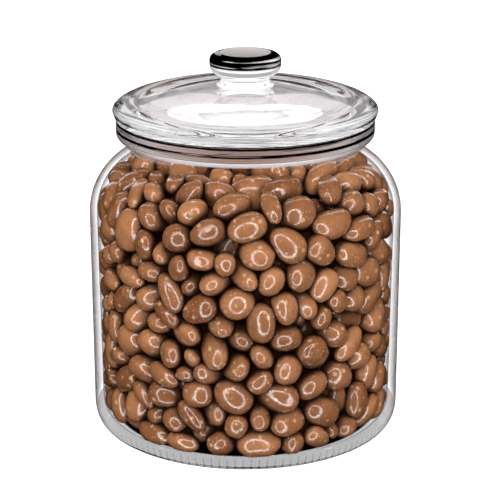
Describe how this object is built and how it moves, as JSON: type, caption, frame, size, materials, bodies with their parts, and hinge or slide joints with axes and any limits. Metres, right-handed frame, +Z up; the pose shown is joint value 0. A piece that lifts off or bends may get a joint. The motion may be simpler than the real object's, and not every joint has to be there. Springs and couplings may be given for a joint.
{
  "type": "jar of chocolate covered peanuts",
  "caption": "Wide clear glass storage jar with a loose domed glass lid and round knob, filled to the neck with chocolate covered peanuts.",
  "frame": {"origin": "middle of the face the jar stands on", "axes": "+Z up along the axis of the jar, lid and knob; -Y towards the viewer of the picture, +X to the viewer's right"},
  "size_m": [0.1846, 0.1846, 0.2231],
  "materials": {
    "jar_glass": "clear colourless soda-lime glass, fire polished, smooth and glossy, with slightly uneven thickness",
    "lid_glass": "clear pressed glass with slightly wavy faces, glossy, and a ground flat disc on the knob's top",
    "milk_chocolate": "polished milk chocolate, mid brown, glossy with soft highlights, small pits and bumps"
  },
  "bodies": {
    "root": {"jar": "jar_glass", "lid": "lid_glass", "peanut_heap": "milk_chocolate"}
  },
  "joints": []
}
